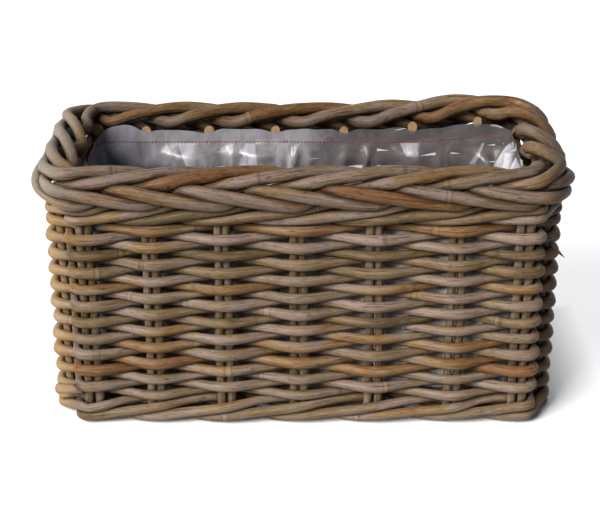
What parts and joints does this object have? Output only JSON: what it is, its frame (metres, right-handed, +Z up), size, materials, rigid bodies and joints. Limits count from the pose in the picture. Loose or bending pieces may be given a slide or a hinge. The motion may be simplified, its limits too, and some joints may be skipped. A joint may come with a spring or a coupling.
{
  "type": "rattan planter",
  "caption": "Rectangular woven rattan trough with paired upright stakes, waled foot and rim, a rolled plait border and a clear film liner.",
  "frame": {"origin": "middle of the footprint, on the floor", "axes": "+Z up, +X along the length towards the right end, -Y towards the front"},
  "size_m": [0.4048, 0.2028, 0.207],
  "materials": {
    "stake_rattan": "matte, greyed olive brown cane",
    "weaver_rattan": "matte, greyed brown cane",
    "wale_rattan": "matte, greyed brown cane",
    "base_rattan": "matte, greyed brown cane",
    "liner_film": "clear, slightly grey film",
    "liner_thread": "dark red stitching"
  },
  "bodies": {
    "root": {"base_weaver_1": "base_rattan", "base_weaver_2": "base_rattan", "base_weaver_3": "base_rattan", "base_weaver_4": "base_rattan", "cross_stake_1_left": "stake_rattan", "cross_stake_1_right": "stake_rattan", "cross_stake_2_left": "stake_rattan", "cross_stake_2_right": "stake_rattan", "cross_stake_3_left": "stake_rattan", "cross_stake_3_right": "stake_rattan", "cross_stake_4_left": "stake_rattan", "cross_stake_4_right": "stake_rattan", "cross_stake_5_left": "stake_rattan", "cross_stake_5_right": "stake_rattan", "cross_stake_6_left": "stake_rattan", "cross_stake_6_right": "stake_rattan", "cross_stake_7_left": "stake_rattan", "cross_stake_7_right": "stake_rattan", "foot_wale_1": "wale_rattan", "foot_wale_2": "wale_rattan", "foot_wale_3": "wale_rattan", "liner": "liner_film", "liner_thread": "liner_thread", "long_stake_1_back": "stake_rattan", "long_stake_1_front": "stake_rattan", "long_stake_2_back": "stake_rattan", "long_stake_2_front": "stake_rattan", "long_stake_3_back": "stake_rattan", "long_stake_3_front": "stake_rattan", "top_wale_1": "wale_rattan", "top_wale_2": "wale_rattan", "top_wale_3": "wale_rattan", "weaver_01": "weaver_rattan", "weaver_02": "weaver_rattan", "weaver_03": "weaver_rattan", "weaver_04": "weaver_rattan", "weaver_05": "weaver_rattan", "weaver_06": "weaver_rattan", "weaver_07": "weaver_rattan", "weaver_08": "weaver_rattan", "weaver_09": "weaver_rattan", "weaver_10": "weaver_rattan", "weaver_11": "weaver_rattan", "weaver_12": "weaver_rattan", "weaver_13": "weaver_rattan", "weaver_14": "weaver_rattan", "weaver_15": "weaver_rattan", "weaver_16": "weaver_rattan", "weaver_17": "weaver_rattan", "weaver_18": "weaver_rattan", "weaver_19": "weaver_rattan", "weaver_20": "weaver_rattan", "weaver_21": "weaver_rattan"}
  },
  "joints": []
}
